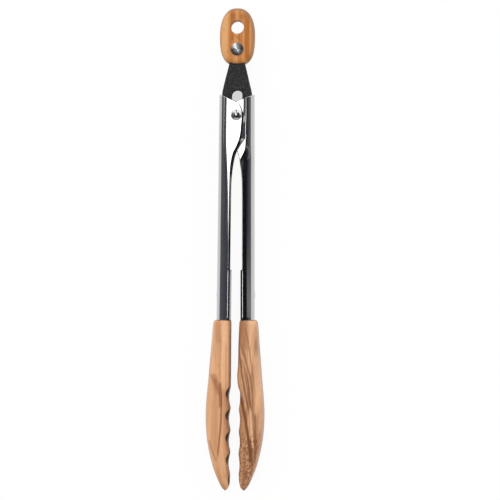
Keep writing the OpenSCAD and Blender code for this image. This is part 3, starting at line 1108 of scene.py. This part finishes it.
@dataclass
class Jaw:
    """One wooden jaw: a paddle with a scalloped gripping edge, and the tenon above it."""

    layout: Layout
    side: Side
    length: float = JAW_LENGTH
    tooth_start: float = 41.5
    tooth_pitch: float = 13.7
    tooth_count: int = 4
    tooth_depth: ClassVar[dict[Side, float]] = {Side.LEFT: 1.05, Side.RIGHT: 0.75}
    # How far into the section the painted shade in each hollow reaches.
    shade_reach: ClassVar[dict[Side, float]] = {Side.LEFT: 0.45, Side.RIGHT: 0.85}
    tooth_gap: float = 3.0
    grip_gap: float = 2.9
    tip_gap: float = 5.4
    shoulder: float = 0.9
    rows: int = 190
    columns: int = 96
    tenon_length: float = 28.0
    tenon_rows: int = 4
    tenon_half: tuple[float, float] = (3.0, 8.2)
    tenon_power: float = 2.6
    tenon_x: float = 6.3
    near: Line = (
        (0, 0.2), (4, 0.5), (14, 0.85), (28, 1.05), (32.7, 1.45), (36.4, 1.4), (40.2, 1.1), (43.9, 0.3),
        (48, 0.45), (76, 0.45), (88, 0.6), (96, 0.4), (102, 0.0), (JAW_LENGTH, 0.0),
    )
    outer: Line = (
        (0, 13.3), (2.4, 14), (14, 14.9), (37, 16.8), (57, 18.3), (74, 17.4), (90, 14), (100, 10.2),
        (104, 8.1), (JAW_LENGTH, 6.4),
    )
    depths: Line = (
        (0, 10.5), (2.4, 11.1), (25, 11.8), (55, 12.2), (78, 11.5), (93, 9.4), (101, 6.6), (104.6, 4.2),
        (JAW_LENGTH, 2.2),
    )

    def _grip(self, s: Points) -> Points:
        """Half the gap between the jaws at the distance s below the ferrule.

        Plain at first, then a row of hollows that follow the absolute sine, and past the last tooth a curve
        that rounds the tip. The right jaw is shaped fuller and shallower.

        Args:
            s: distances.

        Returns:
            The half gaps.
        """
        tip = self.tooth_start + self.tooth_pitch * self.tooth_count
        more = fair(self.near, s) if self.side is Side.RIGHT else 0
        depth = self.tooth_depth[self.side]
        plain = self.grip_gap + (self.tooth_gap - self.grip_gap) * ease((s - self.tooth_start + 6) / 6)
        wave = np.abs(np.sin(np.pi * (s - self.tooth_start) / self.tooth_pitch)) ** 1.2
        q = np.clip((s - tip) / (self.length - tip), 0, 1)
        curl = self.tooth_gap + (self.tip_gap - self.tooth_gap) * q**5
        teeth = np.where(s < tip, self.tooth_gap + depth * wave, curl)
        return np.where(s < self.tooth_start, plain, teeth) - more

    def _marks(self, s: Points, angle: Points, more: int) -> dict[str, Points]:
        """Where the painted shade in the hollows and the painted grey sheen on the outer edge lie.

        In each hollow the painted shade swells like a sine from the tooth, to the side's reach of the way in
        at its widest, and ends before the next tooth.

        Args:
            s: distances below the ferrule, as a column.
            angle: angles round the section, from the side towards the other jaw.
            more: number of the tenon's points, which carry no mark.

        Returns:
            Both marks, from 0 to 1.
        """
        inward, up = np.cos(angle), np.abs(np.sin(angle))
        turns = (s - self.tooth_start) / self.tooth_pitch + 0.08
        in_teeth = (turns > 0) * (turns < self.tooth_count + 0.8)
        swell = np.sin(np.pi * np.clip((turns - np.floor(turns)) / 0.62, 0, 1)) ** 0.7
        shallow = 1.05
        # Painted shade in the hollows, stronger towards the front and back faces.
        grip = ease((inward - shallow + (shallow - self.shade_reach[self.side]) * swell) / 0.14) * in_teeth
        grip = grip * (0.35 + 0.65 * ease((up - 0.2) / 0.35))
        # Painted grey sheen on the outer edge, stronger towards the front and back faces.
        rim = ease((-0.70 - inward) / 0.25) * ease(s / 6) * (0.35 + 0.65 * ease(up / 0.5))
        marks = {"grip": grip, "rim": rim}
        return {name: np.concatenate([mark.ravel(), np.zeros(more)]) for name, mark in marks.items()}

    def build(self) -> bpy.types.Object:
        """Makes the jaw as a stack of superellipse sections, flatter towards the other jaw.

        The sections lie closer together at the rounded top and at the tip, and plain ones
        that lean with the arm make the tenon.

        Returns:
            The jaw, in place.
        """
        top = self.layout.shoulder()
        ends = 1 - np.cos(np.linspace(0, np.pi / 2, 8))
        tip = self.length - 2.9 * (1 - np.linspace(0, 1, 14)) ** 1.8
        s = np.concatenate([self.shoulder * ends, np.linspace(1.3, self.length - 3, self.rows), tip])
        angle = np.linspace(0, 2 * np.pi, self.columns, endpoint=False)[None, :]
        inner, outer = self._grip(s), fair(self.outer, s)
        middle, half = -(inner + outer) / 2, (outer - inner) / 2
        quarter = np.sqrt(np.clip(1 - (1 - s / self.shoulder) ** 2, 0, 1))
        round_top = self.shoulder * (1 - quarter) * (s < self.shoulder)
        power = 3.8 + 1.2 * np.cos(angle)
        half_z = fair(self.depths, s) - round_top
        x, z = oval((half - round_top * 0.7)[:, None], half_z[:, None], power, angle)
        paddle = joined(x + middle[:, None], (top - s)[:, None], z)
        shell = Shell(marks=self._marks(s[:, None], angle, self.tenon_rows * self.columns))
        shell.add_grid(self.layout.place(paddle, self.side), ends=True)
        tenon_y = np.linspace(top - 1, top + self.tenon_length, self.tenon_rows)[:, None]
        tx, tz = oval(*self.tenon_half, self.tenon_power, angle)
        tenon = joined(tx - self.tenon_x, tenon_y, tz)
        shell.add_grid(self.layout.place(tenon, self.side, True), ends=True)
        return shell.build(f"{self.side.label}_jaw_wood", f"{self.side.label}_jaw")


# ---------------------------------------------------------------- pivot


@dataclass
class PivotSet:
    """The pivot's rivet, a body of revolution, and its torsion spring, a swept wire."""

    layout: Layout
    shank: float = 2.4
    head: float = 3.45
    head_height: float = 1.7
    head_base: float = 10.05
    wire: float = 0.7
    leg_wire: float = 0.686
    coil_radius: float = 4.5
    coil_pitch: float = 1.5
    coil_turns: float = 3.5
    leg: float = 42.0
    leg_out: float = 9.2
    overlap: float = 0.6
    end_cut: float = 0.25

    def rivet(self) -> bpy.types.Object:
        """The rivet: a spherical dome at each end of its shank.

        Returns:
            The rivet, in place.
        """
        base = self.head_base
        cap = dome(self.head, self.head_height, base + self.head_height, 0.97, 18)
        half = np.vstack([cap, [[self.head, base + 0.12], [self.head - 0.1, base], [self.shank, base]]])
        grid = self.layout.place(revolve(np.vstack([half, half[::-1] * [1, -1]]), 72))
        return Shell().add_grid(grid, ends=True).build("pivot_rivet_polished", "pivot_rivet")

    def spring(self) -> dict[str, bpy.types.Object]:
        """The torsion spring: a coil on the bush, and a leg that moves with each arm.

        The coil is a helix x = -r cos t, y = r sin t that climbs evenly with t. Each leg
        starts as a piece of the same helix inside the coil's end, so that the wire stays
        whole as the leg turns with its arm, and then runs down in a slow outward bend.

        Returns:
            The three pieces by body.
        """
        last = 2 * np.pi * self.coil_turns
        t = np.linspace(0, 1, 25)[1:]
        bend = self.coil_radius + (self.leg_out - self.coil_radius) * t**2
        fall = joined(-bend, -self.leg * t, -self.coil_pitch * self.coil_turns / 2)
        left = np.vstack([self._helix(np.linspace(self.overlap, 0, 12)), fall])
        turns = self._helix(np.linspace(self.end_cut, last - self.end_cut, 140))
        coil = self._wire("torsion_spring_coil", turns, self.wire)
        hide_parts("torsion_spring")
        pieces = {"pivot": coil}
        for side, path in ((Side.LEFT, left), (Side.RIGHT, left * [-1, 1, -1])):
            pieces[side.body] = self._wire(f"torsion_spring_{side.label}_leg", path, self.leg_wire)
        return pieces

    def _helix(self, turn: Points) -> Points:
        """Points of the coil's centre line.

        Args:
            turn: angles in radians, from 0 at the rear end.

        Returns:
            A point for each angle.
        """
        half = self.coil_pitch * self.coil_turns / 2
        r, z = self.coil_radius, self.coil_pitch * turn / (2 * np.pi) - half
        return joined(-r * np.cos(turn), r * np.sin(turn), z)

    def _wire(self, name: str, path: Points, radius: float) -> bpy.types.Object:
        """A round wire along a path.

        Args:
            name: the object's name.
            path: points of its centre line.
            radius: the wire's radius.

        Returns:
            The wire, in place.
        """
        along = np.gradient(path, axis=0)
        along /= np.linalg.norm(along, axis=1, keepdims=True)
        beside = np.cross(along, [0, 0, 1.0])
        beside /= np.linalg.norm(beside, axis=1, keepdims=True)
        above = np.cross(beside, along)
        angle = np.linspace(0, 2 * np.pi, 16, endpoint=False)[None, :, None]
        rings = path[:, None] + radius * (np.cos(angle) * beside[:, None] + np.sin(angle) * above[:, None])
        return Shell().add_grid(self.layout.place(rings), ends=True).build(name)


@dataclass
class JawScrew:
    """Countersunk screw through the ferrule's outer wall, with a cross recess."""

    layout: Layout
    side: Side
    wall: float = 11.13
    head: float = 2.55
    shank: float = 1.25
    length: float = 6.0
    recess: float = 0.9
    cross_half: float = 0.42
    cross_reach: float = 1.75
    face_rings: int = 26
    along: float = 15.65

    def build(self) -> bpy.types.Object:
        """Makes the screw: a cone and shank of revolution, its face sunk along a cross.

        Returns:
            The screw, in place.
        """
        rings = self.face_rings
        face = joined(np.linspace(POLE, self.head - 0.05, rings), 0)
        cone = [[self.head, -0.06], [self.shank, self.shank - self.head]]
        foot = [[self.shank, -self.length], [POLE, -self.length]]
        grid = revolve(np.vstack([face, cone, foot]), 96)
        u, v = np.abs(grid[..., 0]), np.abs(grid[..., 1])
        cross = ease((self.cross_half - np.minimum(u, v)) / 0.2)
        cross *= ease((self.cross_reach - np.maximum(u, v)) / 0.5)
        grid[: rings - 1, :, 2] -= self.recess * cross[: rings - 1]
        middle = self.layout.shoulder() + self.along
        placed = joined(-self.wall - grid[..., 2], middle + grid[..., 1], grid[..., 0])
        shell = Shell().add_grid(self.layout.place(placed, self.side, True), ends=True)
        return shell.build(f"{self.side.label}_jaw_screw_turned", f"{self.side.label}_jaw_screw")


# ---------------------------------------------------------------- slide and tab


@dataclass
class LockSlide:
    """The moulded wedge: the frame's own solid, with a bevel that stays too small to see."""

    edge: float = 0.00035
    edge_angle: float = math.radians(35)
    weld: float = 2e-6
    flat_angle: float = math.radians(1.2)

    def build(self) -> bpy.types.Object:
        """Copies the slide's solid, joins its points and bevels its edges.

        The bevel's overlap clamp holds it to about the solid's shortest edge, some hundredths
        of a millimetre or less, so the corners stay as sharp as the solid's.

        Returns:
            The slide, in place.
        """
        source = frame["nodes"]["lock_slide"]
        mesh = source.data.copy()
        mesh.transform(source.matrix_world)
        work = bmesh.new()
        work.from_mesh(mesh)
        bmesh.ops.remove_doubles(work, verts=work.verts, dist=self.weld)
        bmesh.ops.dissolve_limit(work, angle_limit=self.flat_angle, verts=work.verts, edges=work.edges)
        work.to_mesh(mesh)
        work.free()
        mesh.polygons.foreach_set("use_smooth", np.ones(len(mesh.polygons), bool))
        piece = link("lock_slide_moulded", mesh, "lock_slide")
        bevel = piece.modifiers.new("edges", "BEVEL")
        bevel.width = self.edge
        bevel.segments = 3
        bevel.limit_method = "ANGLE"
        bevel.angle_limit = self.edge_angle
        piece.modifiers.new("flats", "WEIGHTED_NORMAL").keep_sharp = True
        return piece


@dataclass
class PullTab:
    """The wooden tab with its hanging hole, and the two halves of its rivet."""

    layout: Layout
    width: float = 21.8
    height: float = 35.4
    thick: float = 11.0
    round_edge: float = 3.6
    power: float = 2.35
    squarer: float = 0.4
    hole: float = 4.1
    hole_edge: float = 0.5
    hole_y: float = 54.9
    rivet_y: float = 41.1
    rivet_head: float = 3.95
    rivet_dome: float = 0.7
    rivet_rise: float = 1.1
    rivet_shank: float = 2.0
    rivet_socket: float = 3.0

    def wood(self) -> bpy.types.Object:
        """Makes the tab as one closed ring of surface round the hanging hole.

        A closed profile runs from the hole's wall over the front face, round the outer edge
        and back behind. Each point of it is a share of the way from the hole's circle to the
        tab's superellipse, at its own height.

        Returns:
            The tab, in place.
        """
        top = self.layout.reach("pull_tab", 1, True)
        middle = top - self.height / 2
        half = self.thick / 2
        share, hole_inset, rim_inset, z = self._profile(half).T[:, :, None]
        t = np.linspace(0, 2 * np.pi, 144, endpoint=False)[None, :]
        power = self.power + self.squarer * ease(-np.sin(t) * 2)
        ox, oy = oval(self.width / 2 - rim_inset, self.height / 2 - rim_inset, power, t)
        hx, hy = (self.hole + hole_inset) * np.cos(t), (self.hole + hole_inset) * np.sin(t)
        x = hx * (1 - share) + ox * share
        y = (hy + self.hole_y) * (1 - share) + (oy + middle) * share
        # Painted shade on the tab's rounded rim, wider and stronger towards +X and +Y, and towards the faces.
        grey = ease(0.5 + 0.5 * (np.cos(t) + np.sin(t)))
        rim = ease((share - 0.995) * 200) * ease((1.3 + 0.9 * grey - rim_inset) / 0.8)
        rim = rim * (0.5 + 0.5 * grey) * (0.4 + 0.6 * ease(np.abs(z) / 2.5))
        shell = Shell(marks={"rim": rim}).add_grid(self.layout.place(joined(x, y, z)), wrap_rows=True)
        return shell.build("pull_tab_wood", "pull_tab")

    def _profile(self, half: float) -> Points:
        """The closed profile from the hole to the outer edge and back.

        Args:
            half: half the tab's thickness.

        Returns:
            A row for each point: its share of the way out, its inset from the hole, its inset
            from the rim, and its height.
        """
        chamfer = np.radians(np.linspace(0, 90, 7))
        edge = np.radians(np.linspace(90, 0, 15))
        c, r = self.hole_edge, self.round_edge
        bore = joined(0, 0, r, np.linspace(0, half - c, 8)[:-1])
        hole_in = joined(0, c * (1 - np.cos(chamfer)), r, half - c * (1 - np.sin(chamfer)))
        face = joined(np.linspace(0, 1, 24)[1:-1], c, r, half)
        rim = joined(1, c, r * (1 - np.cos(edge)), half - r * (1 - np.sin(edge)))
        wall = joined(1, c, 0, np.linspace(half - r, 0, 5)[1:4])
        front = np.vstack([bore, hole_in, face, rim, wall])
        back = front[::-1] * [1, 1, 1, -1]
        return np.vstack([front, [[1, c, 0, 0]], back[:-1]])

    def rivet_half(self, node: str, front: bool) -> bpy.types.Object:
        """One half of the tab's rivet: a shallow domed head with a rounded rim, and its shank.

        Args:
            node: the frame's node that it replaces.
            front: whether it is the half on the front face.

        Returns:
            The half rivet, in place.
        """
        base, head = self.thick / 2, self.rivet_head
        shank = self.rivet_shank if front else self.rivet_socket
        cap = dome(head, self.rivet_dome, base + self.rivet_rise, 0.9, 14)
        rim = [[head - 0.06, base + 0.45], [head, base + 0.3], [head, base + 0.02]]
        foot = [[shank, base], [shank, 0.2], [POLE, 0.2]]
        grid = revolve(np.vstack([cap, rim, foot]), 96) + [0, self.rivet_y, 0]
        grid = grid * [1, 1, 1 if front else -1]
        return Shell().add_grid(self.layout.place(grid), ends=True).build(f"{node}_spun", node)


# ---------------------------------------------------------------- studio


@dataclass
class Studio:
    """Pale floor, a soft box overhead, a bright wall at the tab's end, and the camera."""

    layout: Layout
    distance: float = 1.5
    yaw: float = math.radians(2.5)
    roll: float = math.radians(0.38)
    sensor: float = 36.0
    view_width: float = 0.31145
    aim: tuple[float, float] = (0.00862, -0.00034)
    slot_y: float = 0.012
    lamp_target: Colour = (0, 0.05, 0)
    floor_size: float = 4.0
    paper: Colour = (0.92, 0.92, 0.92)
    floor_white: float = 0.94
    slot_shade: float = 0.40
    wall_tones: ClassVar[Stops] = [
        (0.0, (0.60, 0.60, 0.59)), (0.07, (0.235, 0.24, 0.25)), (0.30, (0.125, 0.13, 0.145)),
        (0.60, (0.082, 0.09, 0.106)), (0.92, (0.006, 0.008, 0.012)),
    ]
    left_wall: Colour = (0.14, 0.153, 0.178)
    card_grey: Colour = (0.50, 0.50, 0.50)
    low_wall: Colour = (0.8, 0.8, 0.8)
    window_light: Colour = (1.65, 1.65, 1.66)
    fill_tones: tuple[Colour, Colour] = ((0.62, 0.62, 0.62), (1.60, 1.60, 1.61))

    @staticmethod
    def _facing(place: Vector, back: Vector, up: Vector) -> Matrix:
        """The transform of a camera or lamp at a place, with its back towards a unit vector."""
        side = up.cross(back).normalized()
        return Matrix.Translation(place) @ Matrix((side, back.cross(side), back)).transposed().to_4x4()

    def camera(self) -> None:
        """Sets the camera over the front face, turned a little to the right."""
        data = bpy.data.cameras.new("camera")
        data.sensor_width = self.sensor
        data.lens = self.sensor * self.distance / self.view_width
        data.clip_end = 20
        made = link("camera", data)
        target = Vector((*self.aim, self.layout.pivot[2]))
        back = Vector((math.sin(self.yaw), 0, math.cos(self.yaw)))
        up = Vector((-math.sin(self.roll), math.cos(self.roll), 0))
        made.matrix_world = self._facing(target + back * self.distance, back, up)
        bpy.context.scene.camera = made

    def floor(self) -> None:
        """Lays the floor, which shows white to the camera and in reflections, with a painted shadow under the
        slide's slot.
        """
        mesh = bpy.data.meshes.new("floor")
        size = self.floor_size
        corners = [(-size, -size, 0), (size, -size, 0), (size, size, 0), (-size, size, 0)]
        mesh.from_pydata(corners, [], [(0, 1, 2, 3)])
        floor = link("floor", mesh)
        made, m = material("floor_paper")
        seen = self._seen(m)
        x, y, _ = m.axes(m.place((1, 1, 1), (0, -self.layout.pivot[1] - self.slot_y, 0)))
        # Painted shadow on the floor under the slot in the slide.
        shade = 1 - ((x * x + y * y) ** 0.5).rise(0.004, 0.010)
        matt = m.node("ShaderNodeBsdfDiffuse", {}, {"Color": (*self.paper, 1)})
        glow = m.node("ShaderNodeEmission", {}, {"Color": (1, 1, 1, 1), "Strength": 1.0})
        white = seen * (self.floor_white - self.slot_shade * shade)
        parts = {0: white, 1: matt.outputs[0], 2: glow.outputs[0]}
        mix = m.node("ShaderNodeMixShader", {}, parts)
        m.node("ShaderNodeOutputMaterial", {}, {"Surface": mix.outputs[0]})
        mesh.materials.append(made)

    @staticmethod
    def _seen(m: Maker) -> Number:
        """How much of the floor's own white a ray sees.

        Args:
            m: the floor's material under construction.

        Returns:
            1 for rays from the camera, 0.9 from gloss and through glass, and 0 for the rest.
        """
        path = m.node("ShaderNodeLightPath").outputs
        kinds = ("Camera", "Glossy", "Transmission")
        camera, gloss, glass = (Number(m, path[f"Is {kind} Ray"]) for kind in kinds)
        return camera.most(gloss * 0.9).most(glass * 0.9)

    def world(self) -> None:
        """A dim studio round a white floor: pale to the camera, dark walls in reflections.

        The walls darken with height. A bright window towards the tab is broken by a stand and
        two doors, and a faint sash at its left reaches lower. A narrow grey card stands at the
        right, and the wall at the jaws' end is pale.
        """
        world = bpy.data.worlds.new("studio")
        bpy.context.scene.world = world
        world.use_nodes = True
        m = Maker(world.node_tree)
        path = m.node("ShaderNodeLightPath").outputs
        across, along, height = m.axes(m.node("ShaderNodeTexCoord").outputs["Generated"])
        walls = m.ramp(height, self.wall_tones)
        walls = m.blend((-across).rise(0.03, 0.24) * 0.5, walls, self.left_wall)
        low = (-along).rise(0.60, 0.85) * 0.9
        card = across.rise(0.44, 0.58) * (-along - across * 0.012).rise(-0.012, 0.010) * 0.85
        card = card * (1 - (-along).rise(0.018, 0.034))
        stand = (1 - (across + along * 0.5 - 0.42).abs().rise(0.08, 0.14)) * along.rise(0.16, 0.22)
        door = (-across).rise(0.24, 0.42) * (1 - along.rise(0.52, 0.70)) * height.rise(0.10, 0.18)
        door = door + across.rise(0.20, 0.32) * (1 - along.rise(0.60, 0.70)) * height.rise(0.45, 0.55)
        window = along.rise(0.09, 0.14) * (1 - door) * (1 - stand)
        sash = along.rise(0.03, 0.06) * (1 - (across + 0.64).abs().rise(0.04, 0.08)) * 0.5
        walls = m.blend(card, walls, self.card_grey)
        walls = m.blend(low, walls, self.low_wall)
        walls = m.blend(window.most(sash * height.rise(0.10, 0.17)), walls, self.window_light)
        fill = m.blend(along.rise(-0.5, 0.6), *self.fill_tones)
        soft = m.blend(Number(m, path["Is Glossy Ray"]), fill, walls)
        shown = m.blend(Number(m, path["Is Camera Ray"]), soft, (1.0, 1.0, 1.0))
        back = m.node("ShaderNodeBackground", {}, {"Color": shown, "Strength": 1.0})
        m.node("ShaderNodeOutputWorld", {}, {"Surface": back.outputs[0]})

    def lamp(self, name: str, place: Colour, size: tuple[float, float], power: float) -> None:
        """Hangs a soft box that faces the arms and that the camera doesn't see.

        Args:
            name: the lamp's name.
            place: its centre.
            size: width and length.
            power: watts.
        """
        data = bpy.data.lights.new(name, "AREA")
        data.shape = "RECTANGLE"
        data.size, data.size_y = size
        data.energy = power
        made = link(name, data)
        back = (Vector(place) - Vector(self.lamp_target)).normalized()
        made.matrix_world = self._facing(Vector(place), back, Vector((0, 1, 0)))
        made.visible_camera = False

    def build(self) -> None:
        """Sets up the whole studio."""
        self.floor()
        self.world()
        self.lamp("overhead_strip", (-0.10, 0.06, 1.60), (0.31, 0.42), 1.26)
        self.camera()
        bpy.context.scene.view_settings.view_transform = "Standard"


# ---------------------------------------------------------------- whole object


def finishes(layout: Layout) -> dict[str, bpy.types.Material]:
    """Makes every finish.

    Args:
        layout: the places that patterns follow.

    Returns:
        The materials by name.
    """
    left = OliveWood(
        "left_jaw_olive_wood",
        layout,
        pale=(0.86, 0.50, 0.27),
        mid=(0.67, 0.35, 0.175),
        dark=(0.44, 0.20, 0.085),
        heart=(0.27, 0.09, 0.028),
        seed=3.1,
        figure=0.3,
        streaks=(
            Streak(-126, -172, -6.4, 0, 0, 4.5, 0.65, Tone.PALE),
            Streak(-158, -222, -12, 0, 0, 8, 0.85, Tone.MID),
            Streak(-126, -142, -10.3, 0, 0, 2.6, 0.6, Tone.DARK),
            Streak(-137, -166, -9, 0, 0, 1.2, 0.55, Tone.DARK),
            Streak(-160, -174, -13.2, 4.2, 0, 3.2, 0.9, Tone.DARK),
            Streak(-163, -171, -12.2, 1.6, 0, 1.5, 0.6),
            Streak(-165, -182, -8.9, 0.2, 0, 1.5, 0.8),
            Streak(-170, -214, -8, 0.6, -3.4, 0.9, 0.85),
            Streak(-201, -215, -15.9, 3.2, 1.8, 0.8, 0.55),
            Streak(-140, -196, -5.4, 0.4, 0, 0.8, 0.55, Tone.DARK),
            Streak(-176, -208, -13.8, -0.4, 0, 0.6, 0.5, Tone.DARK),
            Streak(-166, -212, -11.6, -0.6, 0.6, 2.6, 0.5, Tone.DARK),
        ),
    )
    right = OliveWood(
        "right_jaw_olive_wood",
        layout,
        pale=(0.75, 0.42, 0.225),
        mid=(0.52, 0.26, 0.125),
        dark=(0.33, 0.14, 0.058),
        heart=(0.19, 0.062, 0.019),
        seed=8.4,
        figure=0.4,
        lean=-0.12,
        streaks=(
            Streak(-126, -146, 4.6, 1, 0, 3.2, 0.6, Tone.DARK),
            Streak(-140, -183, 2.8, 15.1, -7.4, 1.3, 0.95, Tone.DARK),
            Streak(-147, -180, 3.4, 13.3, -6.6, 0.9, 0.7, Tone.PALE),
            Streak(-146, -208, 2.6, 6, 7, 0.8, 0.8),
            Streak(-150, -212, 5.2, 6, 4, 0.7, 0.6),
            Streak(-132, -176, 6, 9, -2, 0.7, 0.5),
            Streak(-158, -216, 9, 6.5, -3, 0.6, 0.55),
            Streak(-156, -207, 6.9, 6, 0, 0.8, 0.8),
            Streak(-160, -190, 9.6, 3, 0, 2.2, 0.55, Tone.DARK),
            Streak(-146, -200, 12.4, 4.4, -2.4, 3.2, 0.65, Tone.PALE),
            Streak(-181, -214, 9.3, 4, -1, 1.2, 0.85, Tone.PALE),
            Streak(-172, -216, 3, 11.3, -4.1, 1.4, 1),
            Streak(-200, -216, 9.4, 1.4, 0, 1.8, 1),
            Streak(-184, -216, 12.4, 2.4, -2.2, 1.1, 0.8),
            Streak(-182, -232, 14.6, -2, -4, 1.6, 0.6, Tone.DARK),
        ),
        burr=(-190, -236),
    )
    tab = OliveWood(
        "tab_olive_wood",
        layout,
        pale=(0.76, 0.40, 0.17),
        mid=(0.62, 0.28, 0.09),
        dark=(0.435, 0.132, 0.006),
        heart=(0.24, 0.09, 0.03),
        seed=5.7,
        # Dark colour of the painted shade on the tab's rim.
        rim=(0.18, 0.13, 0.09),
        streaks=(
            Streak(66, 32, 6.9, 0, 0, 3, 1, Tone.DARK),
            Streak(62, 36, 8.5, -0.3, 0, 0.8, 0.4, Tone.PALE),
            Streak(64, 34, 4.6, 1.6, 0, 0.8, 0.35),
            Streak(66, 56, -2.6, 0.6, 0, 2.2, 0.8, Tone.DARK),
            Streak(66, 32, -7, -0.4, 0, 3.7, 0.55, Tone.PALE),
            Streak(50, 46, -1, 4, 0, 1.6, 0.6, Tone.DARK),
            Streak(63.4, 60, -3, 0.4, 0, 0.5, 0.85),
            Streak(63, 59.6, -1.2, 0.3, 0, 0.45, 0.8),
            Streak(62.6, 59.4, 3, 0.6, 0, 0.5, 0.85),
            Streak(64, 60.4, 4.6, 0.8, 0, 0.5, 0.7),
            Streak(50.2, 46.2, -2.8, 0.3, 0, 0.5, 0.8),
            Streak(50, 46.6, 1.4, 0.3, 0, 0.45, 0.7),
        ),
    )
    rivet_y = layout.pivot[1] + PullTab(layout).rivet_y * MM
    return {
        "steel": PolishedSteel("polished_sheet_steel").make(),
        "dome": PolishedSteel("polished_rivet_steel", roughness=0.05).make(),
        "left_wood": left.make(),
        "right_wood": right.make(),
        "tab_wood": tab.make(),
        "plastic": MouldedPlastic("black_textured_plastic").make(),
        "spun": SpunSteel("spun_rivet_steel", (layout.pivot[0], rivet_y)).make(),
        "drawn": DrawnSteel("drawn_spring_steel").make(),
        "bush": DrawnSteel("turned_bush_steel", (0.55, 0.55, 0.56), 0.26).make(),
    }


def dress_node(node: str, finish: bpy.types.Material) -> None:
    """Gives a node of the frame that stays visible its finish.

    Args:
        node: the node's name.
        finish: its material.
    """
    target = frame["nodes"][node]
    for slot in target.material_slots:
        slot.material = finish
    log.info("%s: dressed as it stands", node)


def main() -> None:
    """Builds the tongs and the studio."""
    logging.basicConfig(level=logging.INFO, format="%(message)s")
    layout = Layout.from_frame()
    done = finishes(layout)
    for side in Side:
        dress(Arm(layout, side).build(), done["steel"], side.body)
        dress(Jaw(layout, side).build(), done[f"{side.label}_wood"], side.body)
        dress(JawScrew(layout, side).build(), done["bush"], side.body)
    pivot = PivotSet(layout)
    dress(pivot.rivet(), done["dome"], "pivot")
    for body, wire in pivot.spring().items():
        dress(wire, done["drawn"], body)
    dress_node("pivot_bush", done["bush"])
    dress(LockSlide().build(), done["plastic"], "lock")
    tab = PullTab(layout)
    dress(tab.wood(), done["tab_wood"], "lock")
    for node, front in (("tab_rivet", True), ("tab_rivet_socket", False)):
        dress(tab.rivet_half(node, front), done["spun"], "lock")
    Studio(layout).build()


if __name__ == "__main__":
    main()
